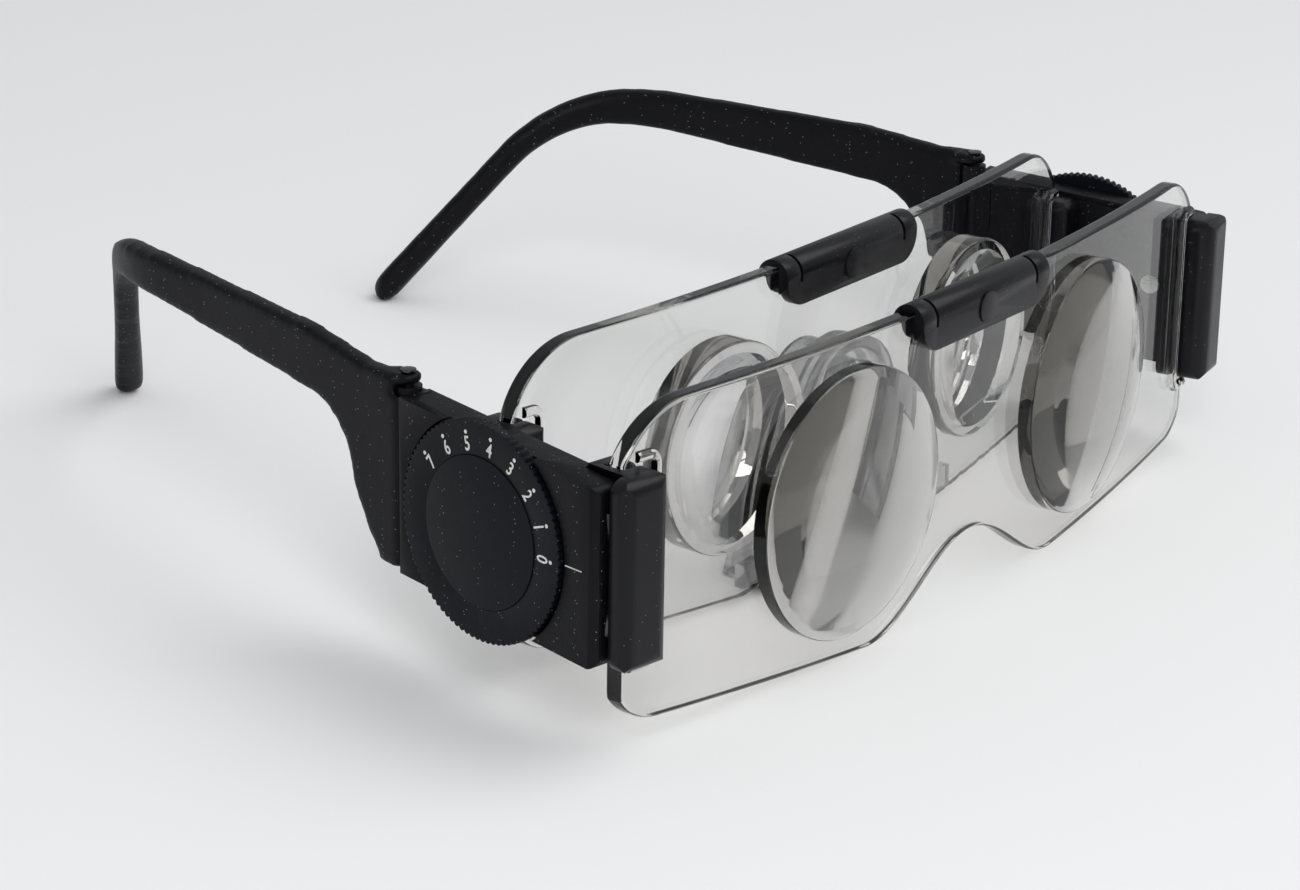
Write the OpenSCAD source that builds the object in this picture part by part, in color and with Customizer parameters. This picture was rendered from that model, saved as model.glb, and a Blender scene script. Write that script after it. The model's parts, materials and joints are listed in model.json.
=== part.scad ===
// Magnifying spectacles: two bowed clear lens plates between two black side housings,
// a focus dial in each housing that racks the front plate forward, and two folding temples.
// Millimetres. +X is the wearer's left, the front plate faces -Y, +Z is up.

/* [Lens plates] */
// Half the width of the front plate's outline
front_half_w = 77.3; // [76.7:0.1:77.9]
// How much each end of the front plate is cut straight inside its clip
front_end_cut = 1.4; // [1.2:0.1:1.8]
// Height of a plate from its lobes to its top edge
plate_h = 47.2; // [46:0.2:50]
// Thickness of the clear sheet
plate_t = 2.6; // [2.2:0.1:2.8]
// Radius that the plates are bowed to, seen from above
bow_r = 447; // [400:5:520]
// Radius of a plate's upper corners
top_corner_r = 13; // [9:0.5:15]
// Radius of a plate's lower corners
low_corner_r = 9; // [6:0.5:11]
// How much the lower edge rises from a lobe to the corner
low_rise = 3.4; // [2:0.2:5]
// Height of the notch between the front plate's lobes
notch_h = 10.4; // [6:0.2:13]
// Half the width of that notch
notch_half_w = 25; // [20:0.5:28]
// Distance between the front faces of the two plates
plate_gap = 22.7; // [21.5:0.1:23.5]
// How much higher the rear plate sits
rear_rise = 2.2; // [1:0.1:3]
// Radius of the clear bead beside each clip
bead_r = 0.8; // [0.5:0.1:1]

/* [Lenses] */
// Distance between the two lens centres
pupil_gap = 64; // [61:0.5:66]
// Radius of a front lens
front_lens_r = 19.4; // [17:0.1:20]
// Height of the front lens centre
front_lens_z = 23.9; // [22.5:0.1:25]
// Height of the front lens's upright edge
front_wall = 1.75; // [1:0.05:2.5]
// Curvature radius of the front lens's face
front_dome_r = 45; // [35:1:70]
// Curvature radius of the front lens's back
back_dome_r = 60; // [45:1:90]
// Outer radius of a rear lens's ring
rear_lens_r = 15.3; // [13.8:0.1:16]
// Height of the rear lens centre
rear_lens_z = 27.5; // [26:0.1:29]
// How far the rear lens's ring stands forward
rear_boss = 3.9; // [3:0.1:5]
// Curvature radius of the hollow in the rear lens
rear_dish_r = 20; // [18:0.5:30]
// Radius of that hollow at its mouth
rear_dish_open_r = 13.4; // [11:0.1:13.6]

/* [Nose] */
// Half the width of the nose arch at its foot
arch_foot_w = 20; // [18:0.5:21]
// Radius of the arch's round top
arch_top_r = 9.5; // [8:0.1:10.5]
// Height of that round top's centre
arch_top_z = 24; // [22:0.5:26]
// Thickness of the saddle's band
saddle_t = 1.6; // [1.2:0.1:2.2]
// Width of the saddle's flange on the plate
saddle_flange = 1.8; // [1.4:0.1:2]
// How far the saddle reaches back from the plate
saddle_depth = 6.5; // [4:0.5:9]
// How far the saddle's feet reach out past the arch's foot
foot_l = 7.5; // [5:0.5:8]
// Height of the saddle's feet above the front plate's lobes
foot_z = 4.8; // [4.4:0.1:6]
// Height of a foot
foot_h = 3.5; // [2.5:0.1:4]
// Thickness of a foot
foot_t = 1.6; // [1.4:0.1:2]

/* [Bridge covers] */
// Half the length of a bridge cover
cover_half_l = 17; // [14:0.5:20]
// Height of a bridge cover's front below the plate's top edge
cover_drop = 5.9; // [5.6:0.1:7]
// Wall of a bridge cover
cover_wall = 1.3; // [1:0.1:1.8]

/* [Housings] */
// How far inside the front plate's half width the outer face meets the temple
seam_inset = 1.7; // [1.3:0.1:2.1]
// How far behind the front plate's ends the outer face meets the temple
seam_back = 37.1; // [36.8:0.1:37.4]
// Toe-in of the housings
toe = 9.5; // [9:0.1:10]
// Length of a housing
housing_l = 38; // [37.6:0.1:38.4]
// Thickness of a housing
housing_t = 5.4; // [5.4:0.05:5.7]
// Height of the outer face at the temple
housing_h = 25; // [24.6:0.2:26]
// Height of the lower edge at the temple
housing_z = 16.4; // [16:0.1:16.8]
// How much a housing drops towards the front
housing_fall = 2.6; // [2:0.1:3]
// Wall round the hollow
housing_wall = 1.5; // [1.2:0.1:1.8]
// Radius of the rounding at the front end, from above
housing_round = 1.4; // [0.8:0.1:1.6]
// Radius of the front end's upper and lower corners
housing_corner_r = 1.6; // [0.8:0.1:2.4]
// Thickness of the inner cover
inner_cover_t = 1.1; // [1:0.05:1.15]

/* [Dials] */
// Radius of a dial over its serrations
dial_r = 15.3; // [14:0.1:15.6]
// Number of serrations
dial_teeth = 90; // [60:1:100]
// Radius of the cap in the dial's middle
dial_cap_r = 10.5; // [9:0.1:11.5]
// Distance of the dial's centre from the temple
dial_back = 16.6; // [16.4:0.1:17]
// Height of the dial's centre
dial_z = 27; // [26.7:0.1:27.3]
// Turn from one number to the next
dial_step = 20.5; // [18:0.5:20.5]
// Radius of the dial's hub
hub_r = 2; // [1.8:0.1:2.1]

/* [Rack and pinion] */
// Teeth of the pinion
pinion_teeth = 12; // [12:1:12]
// Gear module
gear_module = 0.6; // [0.58:0.01:0.62]
// Width of the pinion
pinion_w = 1.6; // [1.4:0.05:1.6]
// Height of a slider's arm
arm_h = 3.8; // [3:0.1:4]
// Thickness of the slider
slider_t = 1.4; // [1.2:0.05:1.4]

/* [Clips] */
// Height of a clip
clip_h = 26.3; // [25:0.1:27.4]
// Height of the clips' lower end
clip_z = 13.4; // [13:0.1:14]
// Width of a front clip, from the housing's outer face
front_clip_w = 10.4; // [10:0.1:11]
// How far a front clip's outer side lies inside the housing's outer face
clip_inset = 1.7; // [1.6:0.05:1.75]
// Width of a rear clip
rear_clip_w = 5.4; // [4.6:0.1:6]
// How far a front clip stands proud of its plate
clip_proud = 4.9; // [4.7:0.1:5.4]
// Radius of a front clip's long rounded edge on its inner side
clip_round = 3; // [2:0.1:3.4]
// Radius of the other rounded edges and ends of a front clip
clip_corner_r = 2.2; // [1.6:0.1:2.4]
// Wall of a clip behind and beside the plate
clip_web = 1; // [0.9:0.1:1.1]

/* [Temples] */
// Thickness of a temple
temple_t = 3; // [2.8:0.1:3.2]
// Further toe-in of a temple past its housing
temple_toe = 3; // [2:0.5:4]
// Height of the straight arm
bar_h = 6.5; // [5.6:0.1:7]
// How much higher than the housing the arm's middle lies
bar_rise = 3.1; // [2.6:0.1:3.4]
// Distance from the hinge to where the temple starts to turn inwards round the head
wrap_from = 57; // [54:0.5:60]
// Radius of that inward turn
wrap_r = 32.5; // [28:0.5:40]
// How far the temple's end turns inwards
wrap_angle = 33; // [26:1:36]
// Distance from the hinge to where it starts to bend down over the ear
bend_from = 64; // [62:0.5:67]
// Radius of the bend over the ear
hook_bend_r = 22.8; // [20:0.1:25]
// Angle that the hook turns down
hook_angle = 52; // [48:1:56]
// Length of the hook past its bend, seen from the side
hook_l = 29; // [26:0.1:31]
// Height of the hook's flat strip
hook_h = 4; // [3.6:0.1:4.6]
// Thickness of that strip
hook_t = 2.3; // [2:0.1:2.6]
// Thickness of the hook's round tip
tip_t = 3; // [2.6:0.1:3.4]
// Radius of the hinge pin
pin_r = 0.8; // [0.6:0.05:0.9]
// Radius of the hinge's knuckle
knuckle_r = 1.9; // [1.7:0.05:2]

/* [Fits] */
// Gap between fixed pieces
seat_gap = 0.02; // [0.01:0.01:0.05]
// Gap of a running pin or shaft
run_gap = 0.04; // [0.02:0.01:0.06]
// Gap between pieces that slide or swing past each other
slide_gap = 0.15; // [0.12:0.01:0.2]
// Depth of the small flats that it rests on
rest_flat = 0.15; // [0.1:0.05:0.25]

/* [Hidden] */

fine = 96;
seam_x = front_half_w - seam_inset;
very_fine = 720;
black = "#1d1d22";
dark_grey = "#55555e";
clear = [0.86, 0.87, 0.86, 0.4];
steel = "silver";

// Points of a round stretch, from angle a0 to a1
function arc(cx, cz, r, a0, a1, n = 10) =
    [for (i = [0:n]) let (a = a0 + (a1 - a0) * i / n) [cx + r * cos(a), cz + r * sin(a)]];
function flip(points) = [for (i = [len(points) - 1:-1:0]) [-points[i][0], points[i][1]]];
function bow_y(x) = bow_r - sqrt(bow_r * bow_r - x * x);
seam_y = bow_y(front_half_w) + seam_back;

// Housing section, side frame: x outward from the outer face, y back from the seam
inner_x = -housing_t;
cover_x = inner_x + inner_cover_t;
dial_proud = 0.5;
dial_back_x = -1;
floor_front_x = dial_back_x - 0.1;
floor_back_x = floor_front_x - 0.7;
pinion_front_x = floor_back_x - 0.1;
pinion_back_x = pinion_front_x - pinion_w;
slider_front_x = floor_back_x - 0.2;
slider_back_x = slider_front_x - slider_t;
notch_x = slider_back_x - 0.6;
hub_in = pinion_w / 2;
function low_z(y) = housing_z + housing_fall * y / housing_l;
function top_z(y) = low_z(y) + housing_h;
axis_x = -(temple_t + 0.1);
axis_y = 1.6;
lug_t = 1.8;
lug_low_z = housing_z + 0.2;
knuckle_low_z = lug_low_z + lug_t + slide_gap;
knuckle_top_z = housing_z + housing_h + 0.7;
lug_top_z = knuckle_top_z + slide_gap;

// Dial, rack and pinion
pitch_r = gear_module * pinion_teeth / 2;
tooth_pitch = PI * gear_module;
rack_z = dial_z + pitch_r;
rack_addendum = 0.7 * gear_module;
pinion_addendum = 0.8 * gear_module;
dedendum = 1.05 * gear_module;
backlash = 0.14;
travel = pitch_r * 7 * dial_step * PI / 180;
upper_arm_z = rack_z + dedendum;
lower_arm_z = clip_z + 4.8;
clip_gap = 0.7;
slider_head_t = 1.3;
clip_back_y = -housing_l - clip_gap;
rack_back_y = -dial_back + travel + 2.6;
lower_back_y = -dial_back - 0.4;

// Front clip, side frame: the plate's end lies between its front wall and its lip
function side_x(x, y) = (x - seam_x) * cos(toe) + (y - seam_y) * sin(toe);
function side_y(x, y) = -(x - seam_x) * sin(toe) + (y - seam_y) * cos(toe);
front_end_w = front_half_w - front_end_cut;
front_edge_y = side_y(front_end_w, bow_y(front_end_w));
clip_front_y = front_edge_y - clip_proud;
web_outer_x = notch_x - 0.3;
lip_y = front_edge_y + plate_t + 0.75;
lip_t = 1.5;
notch_y = lip_y + lip_t + 0.4;

// Rear plate: its ends stop one web short of the housings' inner faces
rear_web_x = inner_x - seat_gap;
rear_straight_w = seam_x + (seam_y - plate_gap) * tan(toe) + (rear_web_x - clip_web - 0.3) / cos(toe);
rear_half_w = rear_straight_w - bow_y(rear_straight_w) * tan(toe);
rear_edge_y = side_y(rear_half_w, bow_y(rear_half_w) + plate_gap);
rear_clip_front_y = rear_edge_y - 3.2;
rear_lip_y = rear_edge_y + plate_t + 0.75;
peg_r = 1.2;
peg_y = rear_edge_y + plate_t / 2;
peg_heights = [clip_z + 7, clip_z + clip_h - 8];

// Temple: how far a point of its middle line is turned down or inwards, and lies inwards
bar_mid_z = housing_z + housing_h + bar_rise;
bend_l = hook_bend_r * hook_angle * PI / 180;
hook_end_y = bend_from + hook_bend_r * sin(hook_angle) + hook_l * cos(hook_angle);
tip_z = bar_mid_z - hook_bend_r * (1 - cos(hook_angle)) - hook_l * sin(hook_angle);
tip_r = hook_h / 2;
wrap_run = wrap_r * sin(wrap_angle);
function down_turn(s) = max(0, min(s / bend_l, 1)) * hook_angle;
function down_y(s) = bend_from + min(s, 0) + hook_bend_r * sin(down_turn(s))
    + max(0, s - bend_l) * cos(hook_angle);
function down_z(s) = bar_mid_z - hook_bend_r * (1 - cos(down_turn(s)))
    - max(0, s - bend_l) * sin(hook_angle);
function in_turn(y) = y < wrap_from ? 0 : y > wrap_from + wrap_run ? wrap_angle : asin((y - wrap_from) / wrap_r);
function in_x(y) = temple_t / 2 + wrap_r * (1 - cos(in_turn(y)))
    + max(0, y - wrap_from - wrap_run) * tan(wrap_angle);
// The way the spectacles stand: on the front plate's lobes and the hooks' tips
tip_back = seam_y + 0.3 * cos(toe) + hook_end_y * cos(toe + temple_toe)
    - in_x(hook_end_y) * sin(toe + temple_toe);
lobe_back = bow_y(notch_half_w) + plate_t;
reach = norm([tip_z, tip_back - lobe_back]);
lean = atan2(tip_z, tip_back - lobe_back) - asin(tip_r / reach);
stand_z = lobe_back * sin(lean) - rest_flat;
// The origin is under the middle of the whole, between the lenses' fronts and the tips
front_sag = front_dome_r - sqrt(front_dome_r ^ 2 - front_lens_r ^ 2);
dome_y = bow_y(pupil_gap / 2) + (front_dome_r - front_wall - front_sag) * cos(asin(pupil_gap / 2 / bow_r));
front_y = dome_y * cos(lean) + front_lens_z * sin(lean) - front_dome_r;
back_y = tip_back * cos(lean) + tip_z * sin(lean) + tip_r;
origin_y = (front_y + back_y) / 2;

module stand() { translate([0, -origin_y, stand_z]) rotate([-lean, 0, 0]) children(); }
module left_side() { translate([seam_x, seam_y, 0]) rotate([0, 0, toe]) children(); }
module right_side() { mirror([1, 0, 0]) left_side() children(); }
module side(name) {
    if (name == "left") left_side() children();
    else right_side() children();
}
// A flat shape drawn in Y and Z, from x0 to x1
module slab(x0, x1, points) {
    translate([x0, 0, 0]) rotate([90, 0, 90]) linear_extrude(x1 - x0) polygon(points);
}
// A round bar along X
module rod(x0, x1, y, z, r) {
    translate([x0, y, z]) rotate([0, 90, 0]) cylinder(h = x1 - x0, r = r, $fn = fine);
}
// A block between two corners
module block(low, high) { translate(low) cube(high - low); }
// A flat shape drawn in X and Z, from y0 back to y1
module wall(y0, y1, points) {
    translate([0, y1, 0]) rotate([90, 0, 0]) linear_extrude(y1 - y0) polygon(points);
}
module ground() {
    far = 4 * front_half_w;
    translate([-far, -far, -far]) cube([2 * far, 2 * far, far]);
}

// Half outline of a plate in X and Z, from the middle of its lower edge to its top
function round_half(half_w, grow) = concat(
    [for (i = [0:12]) let (x = notch_half_w * i / 12)
        [x, notch_h * (1 + cos(180 * x / notch_half_w)) / 2 - grow]],
    arc(half_w - low_corner_r, low_rise + low_corner_r, low_corner_r + grow, -90, 0),
    arc(half_w - top_corner_r, plate_h - top_corner_r, top_corner_r + grow, 0, 90, 14));
function plate_half(half_w, cut, grow) =
    [for (p = round_half(half_w, grow)) [min(p[0], half_w - cut + grow), p[1]]];
// The bowed sheet itself, grown by a clearance where a clip or cover fits over it
module sheet(half_w, cut, grow, front, back) {
    half = plate_half(half_w, cut, grow);
    intersection() {
        wall(-plate_h, plate_h, concat(half, flip(half)));
        translate([0, bow_r, -plate_h]) difference() {
            cylinder(h = 3 * plate_h, r = bow_r + front, $fn = very_fine);
            translate([0, 0, -1])
                cylinder(h = 3 * plate_h + 2, r = bow_r - plate_t - back, $fn = very_fine);
        }
    }
}
// What the clips and covers leave free for a plate
module front_room() { sheet(front_half_w, front_end_cut, slide_gap, slide_gap, 0.45); }
module rear_room() {
    translate([0, plate_gap, rear_rise]) sheet(rear_half_w, 0, seat_gap, seat_gap, seat_gap);
}
// The clear rim that is moulded round a clip's inner edge and ends, set square to the sheet
function corner_x(half_w, z) =
    half_w - top_corner_r + sqrt(top_corner_r ^ 2 - (z - plate_h + top_corner_r) ^ 2);
module bead(x, low_end, high_end) {
    low = clip_z - 0.4 - bead_r;
    high = clip_z + clip_h + 0.4 + bead_r;
    translate([x, bow_y(x), 0]) rotate([0, 0, asin(x / bow_r)]) wall(-bead_r, 1.2, [
        [low_end - x, low - bead_r], [-bead_r, low - bead_r],
        [-bead_r, high + bead_r], [high_end - x, high + bead_r], [high_end - x, high - bead_r],
        [bead_r, high - bead_r], [bead_r, low + bead_r], [low_end - x, low + bead_r]]);
}
module both_ways() { children(); mirror([1, 0, 0]) children(); }

// A front lens: a short round wall, a domed face and a domed back
back_sag = back_dome_r - sqrt(back_dome_r ^ 2 - front_lens_r ^ 2);
module front_lens() {
    intersection() {
        translate([0, -front_lens_r, 0]) rotate([-90, 0, 0])
            cylinder(h = 2 * front_lens_r, r = front_lens_r, $fn = very_fine / 4);
        translate([0, front_dome_r - front_wall - front_sag, 0])
            sphere(r = front_dome_r, $fn = very_fine / 4);
        translate([0, plate_t - 0.1 + back_sag - back_dome_r, 0])
            sphere(r = back_dome_r, $fn = very_fine / 4);
    }
}
module at_lens(y, z) {
    x = pupil_gap / 2;
    both_ways() translate([x, y + bow_y(x), z]) rotate([0, 0, asin(x / bow_r)]) children();
}
front_bead_x = seam_x - (front_clip_w + 0.3) * cos(toe) - (front_edge_y) * sin(toe) - bead_r;
module front_plate() {
    color(clear) difference() {
        stand() {
            sheet(front_half_w, front_end_cut, 0, 0, 0);
            at_lens(0, front_lens_z) front_lens();
            both_ways() bead(front_bead_x, front_end_w - 1,
                corner_x(front_half_w, clip_z + clip_h + 2) - 1);
        }
        ground();
    }
}

// The nose arch in X and Z, grown outwards by grow
arch_lean = 15;
function arch_side(grow) = concat([[arch_foot_w + grow, -5]],
    arc(0, arch_top_z, arch_top_r + grow, arch_lean, 180 - arch_lean, 16),
    [[-arch_foot_w - grow, -5]]);
module rear_lens_ring() {
    rotate([-90, 0, 0]) translate([0, 0, -rear_boss])
        cylinder(h = rear_boss + plate_t / 2, r = rear_lens_r, $fn = very_fine / 4);
}
module rear_lens_dish() {
    depth = sqrt(rear_dish_r ^ 2 - rear_dish_open_r ^ 2);
    translate([0, -rear_boss - depth, 0]) sphere(r = rear_dish_r, $fn = very_fine / 4);
}
rear_bead_x = seam_x + (rear_web_x - rear_clip_w - 0.3) * cos(toe) - rear_edge_y * sin(toe) - bead_r;
module rear_plate() {
    color(clear) stand() difference() {
        union() {
            translate([0, plate_gap, rear_rise]) {
                sheet(rear_half_w, 0, 0, 0, 0);
                both_ways() translate([0, 0, -rear_rise]) bead(rear_bead_x, rear_half_w - 1,
                    corner_x(rear_half_w, clip_z + clip_h + 2 - rear_rise) - 1);
            }
            at_lens(plate_gap, rear_lens_z) rear_lens_ring();
        }
        at_lens(plate_gap, rear_lens_z) rear_lens_dish();
        wall(plate_gap - plate_h, plate_gap + plate_h, arch_side(0));
    }
}

// A soft saddle that grips the nose arch's edge, with two feet turned outwards
foot_root = 3;
module saddle_band(y0, y1, grow) {
    difference() {
        wall(y0, y1, [for (p = arch_side(grow)) [p[0], max(p[1], rear_rise + 0.6)]]);
        wall(y0 - 1, y1 + 1, arch_side(-saddle_t));
    }
}
module nose_saddle() {
    flange_y = plate_gap - 1.1;
    color(dark_grey) stand() difference() {
        union() {
            saddle_band(flange_y, plate_gap + plate_t + 1.6, saddle_flange);
            saddle_band(plate_gap, plate_gap + plate_t + saddle_depth, 0);
            both_ways() translate([arch_foot_w - foot_root, flange_y, foot_z])
                cube([foot_l + foot_root, foot_t, foot_h]);
        }
        difference() {
            rear_room();
            wall(plate_gap - plate_h, plate_gap + plate_h, arch_side(-seat_gap));
        }
        at_lens(plate_gap, rear_lens_z) translate([0, -saddle_depth, 0]) rotate([-90, 0, 0])
            cylinder(h = saddle_depth + plate_t, r = rear_lens_r + 0.2, $fn = fine);
    }
}

// A cover clipped over the middle of a plate's top edge
cover_roll_r = plate_t / 2 + cover_wall;
module bridge_cover() {
    roll_z = plate_h + 1.1 - cover_roll_r;
    front_y = -cover_wall;
    low = plate_h - cover_drop;
    corner = 4;
    difference() {
        union() {
            rod(-cover_half_l, cover_half_l, plate_t / 2, roll_z, cover_roll_r);
            wall(front_y, 0.6, concat([[cover_half_l, roll_z]],
                arc(cover_half_l - corner, low + corner, corner, 0, -90, 8),
                arc(-cover_half_l + corner, low + corner, corner, -90, -180, 8),
                [[-cover_half_l, roll_z]]));
            wall(plate_t - 0.6, plate_t + cover_wall, [[cover_half_l, roll_z],
                [cover_half_l - 2, low + 1.6], [2 - cover_half_l, low + 1.6],
                [-cover_half_l, roll_z]]);
            translate([0, front_y, low + 3.1]) rotate([90, 0, 0])
                cylinder(h = 0.25, r = 2.3, $fn = fine);
        }
        both_ways() difference() {
            rod(cover_half_l - 3.8, cover_half_l - 3.2, plate_t / 2, roll_z, cover_roll_r + 1);
            rod(cover_half_l - 4, cover_half_l - 3, plate_t / 2, roll_z, cover_roll_r - 0.7);
            block([0, -10, -10], [cover_half_l, 20, roll_z - 1]);
            block([0, plate_t / 2, -10], [cover_half_l, 20, plate_h + 10]);
        }
    }
}
module front_bridge_cover() {
    color(black) stand() difference() {
        bridge_cover();
        sheet(front_half_w, front_end_cut, seat_gap, seat_gap, seat_gap);
    }
}
module rear_bridge_cover() {
    color(black) stand() difference() {
        translate([0, plate_gap, rear_rise]) bridge_cover();
        rear_room();
    }
}

// Side profile of a housing in Y and Z, drawn in by an inset
function profile(y0, y1, inset) = [
    [y0, low_z(y0) + inset], [y1, low_z(y1) + inset],
    [y1, top_z(y1) - inset], [y0, top_z(y0) - inset]];
function housing_side() = concat(
    arc(-housing_l + housing_corner_r, low_z(-housing_l) + housing_corner_r, housing_corner_r, 180, 270, 6),
    [[0, low_z(0)], [0, top_z(0)]],
    arc(-housing_l + housing_corner_r, top_z(-housing_l) - housing_corner_r, housing_corner_r, 90, 180, 6));
// Round shaft or hole along X in the side frame
module axle(x0, x1, r) { rod(x0, x1, -dial_back, dial_z, r); }
boss_places = [[notch_y + 3, 27], [-5.6, 25]];
screw_r = 0.8;
screw_head_r = 1.5;
screw_head_t = 0.6;
module arm_slots() {
    for (z = [lower_arm_z, upper_arm_z])
        block([slider_back_x - slide_gap, -housing_l - 1, z - slide_gap],
            [slider_front_x + slide_gap, notch_y + 0.6, z + arm_h + slide_gap]);
}
module housing_plan() {
    corner = housing_round;
    difference() {
        translate([inner_x, -housing_l]) square([housing_t, housing_l]);
        translate([inner_x - 1, -housing_l - 1]) square([notch_x - inner_x + 1, notch_y + housing_l + 1]);
        difference() {
            translate([-corner, -housing_l - 1]) square([corner + 1, corner + 1]);
            translate([-corner, -housing_l + corner]) circle(r = corner, $fn = fine);
        }
    }
}
module housing() {
    color(black) difference() {
        union() {
            intersection() {
                slab(inner_x, 0, housing_side());
                linear_extrude(plate_h + 10) housing_plan();
            }
            translate([axis_x, axis_y, knuckle_low_z])
                cylinder(h = knuckle_top_z - knuckle_low_z, r = knuckle_r, $fn = fine);
            block([axis_x - knuckle_r, -1, knuckle_low_z],
                [axis_x + knuckle_r - 0.7, axis_y, top_z(0)]);
        }
        difference() {
            slab(cover_x - 1, floor_back_x, profile(notch_y + 0.5, -3.4, housing_wall));
            for (p = boss_places) rod(cover_x, 0, p[0], p[1], 1.9);
        }
        slab(inner_x - 1, cover_x, profile(notch_y + 0.3, -0.8, 0.8));
        for (p = boss_places) rod(inner_x - 1, floor_back_x - 0.6, p[0], p[1], screw_r + seat_gap);
        axle(floor_front_x, dial_proud + 2, dial_r + 0.4);
        axle(floor_back_x - 1, floor_front_x + 1, hub_r + run_gap);
        arm_slots();
        translate([axis_x, axis_y, 0]) {
            cylinder(h = plate_h + 5, r = pin_r + seat_gap, $fn = fine);
            cylinder(h = knuckle_low_z, r = knuckle_r + 0.25, $fn = fine);
        }
    }
}
module inner_cover() {
    color(black) difference() {
        slab(inner_x, cover_x - seat_gap, profile(notch_y + 0.4, -0.9, 0.9));
        for (p = boss_places) {
            rod(inner_x - 1, 0, p[0], p[1], screw_r + run_gap);
            rod(inner_x - 1, inner_x + screw_head_t + 0.05, p[0], p[1], screw_head_r + 0.1);
        }
        for (z = peg_heights) rod(inner_x - 1, 0, peg_y, z, peg_r + seat_gap);
        axle(inner_x - 1, cover_x + 1, hub_r - 0.5);
    }
}
module cover_screws() {
    color(steel) for (p = boss_places) {
        rod(inner_x + 0.05, inner_x + screw_head_t + 0.02, p[0], p[1], screw_head_r);
        rod(inner_x + screw_head_t, floor_back_x - 0.9, p[0], p[1], screw_r);
    }
}

// Serrated disc with a hub that runs through the housing's floor
cap_seat_x = dial_proud - 0.6;
module dial() {
    n = dial_teeth;
    color(black) difference() {
        union() {
            slab(dial_back_x, dial_proud, [for (i = [0:4 * n - 1]) let (a = 90 * i / n,
                r = dial_r - [0, 0.1, 0.38, 0.1][i % 4]) [r * cos(a) - dial_back, r * sin(a) + dial_z]]);
            axle(pinion_front_x - hub_in, dial_back_x + 0.1, hub_r);
        }
        axle(cap_seat_x, dial_proud + 1, dial_cap_r + 0.1);
        axle(cap_seat_x - 1, dial_proud, 1 + seat_gap);
        axle(pinion_front_x - 3, dial_back_x - 0.6, screw_r + seat_gap);
        difference() {
            axle(dial_back_x - 0.1, dial_back_x + 0.4, 6);
            axle(dial_back_x - 0.2, dial_back_x + 0.5, 3);
        }
    }
}
module dial_cap() {
    color(black) {
        axle(cap_seat_x + seat_gap, dial_proud + 0.12, dial_cap_r);
        axle(cap_seat_x - 0.9, cap_seat_x + 0.1, 1);
    }
}
module dial_spring() {
    color(steel) difference() {
        axle(floor_front_x + seat_gap, dial_back_x + 0.38, 5.9);
        axle(floor_front_x - 1, dial_back_x + 1, 3.1);
    }
}
// Involute pinion, one tooth pointing straight up at the rack
function involute(base, t) = [base * (cos(t) + t * PI / 180 * sin(t)), base * (sin(t) - t * PI / 180 * cos(t))];
module pinion() {
    base = pitch_r * cos(20);
    tip = pitch_r + pinion_addendum;
    t_tip = sqrt((tip / base) ^ 2 - 1) * 180 / PI;
    half = 90 / pinion_teeth - backlash / 4 / pitch_r * 180 / PI + (tan(20) * 180 / PI - 20);
    flank = [for (i = [0:6]) involute(base, t_tip * i / 6)];
    function spun(p, a) = [p[0] * cos(a) - p[1] * sin(a), p[0] * sin(a) + p[1] * cos(a)];
    root = pitch_r - dedendum;
    tooth = concat([[root - 0.2, -root * sin(half)]],
        [for (p = flank) spun(p, -half)],
        [for (i = [6:-1:0]) spun([flank[i][0], -flank[i][1]], half)],
        [[root - 0.2, root * sin(half)]]);
    color(steel) difference() {
        union() {
            axle(pinion_back_x, pinion_front_x, root);
            for (k = [0:pinion_teeth - 1]) translate([0, -dial_back, dial_z])
                rotate([90 + 360 * k / pinion_teeth, 0, 0])
                    slab(pinion_back_x, pinion_front_x, tooth);
        }
        axle(pinion_front_x - hub_in - seat_gap, pinion_front_x + 1, hub_r + seat_gap);
        axle(pinion_back_x - 1, 0, screw_r + run_gap);
    }
}
module pinion_screw() {
    color(steel) {
        axle(pinion_back_x - 0.5, pinion_back_x - 0.01, 1.6);
        axle(pinion_back_x - 0.1, dial_back_x - 0.8, screw_r);
    }
}

// Slider: an upper arm with the rack, a plain lower arm, and a head let into the clip
module slider() {
    head_front_y = clip_back_y - slider_head_t;
    gap = tooth_pitch / 2;
    count = floor((rack_back_y + 0.4 + dial_back) / tooth_pitch);
    low = rack_z - rack_addendum;
    top = upper_arm_z + 0.1;
    lean_low = rack_addendum * tan(20);
    lean_top = (top - rack_z) * tan(20);
    quarter = tooth_pitch / 4 - backlash / 4;
    color(steel) {
        block([slider_back_x, head_front_y, upper_arm_z], [slider_front_x, rack_back_y, upper_arm_z + arm_h]);
        block([slider_back_x, head_front_y, lower_arm_z], [slider_front_x, lower_back_y, lower_arm_z + arm_h]);
        block([slider_back_x, head_front_y, lower_arm_z],
            [slider_front_x, clip_back_y - 0.1, upper_arm_z + arm_h]);
        for (k = [-2:count - 1]) translate([0, -dial_back + gap + k * tooth_pitch, 0])
            slab(slider_back_x, slider_front_x, [
                [-quarter + lean_low, low], [quarter - lean_low, low],
                [quarter + lean_top, top], [-quarter - lean_top, top]]);
    }
}

// Clips, in plan: a wall in front of the plate, a web past its edge and a lip behind it
module rounded_plan(x0, x1, y0, y1, outer, inner) {
    difference() {
        translate([x0, y0]) square([x1 - x0, y1 - y0]);
        difference() {
            translate([x1 - outer, y0 - 1]) square([outer + 1, outer + 1]);
            translate([x1 - outer, y0 + outer]) circle(r = outer, $fn = fine);
        }
        difference() {
            translate([x0 - 1, y0 - 1]) square([inner + 1, inner + 1]);
            translate([x0 + inner, y0 + inner]) circle(r = inner, $fn = fine);
        }
    }
}
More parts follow.
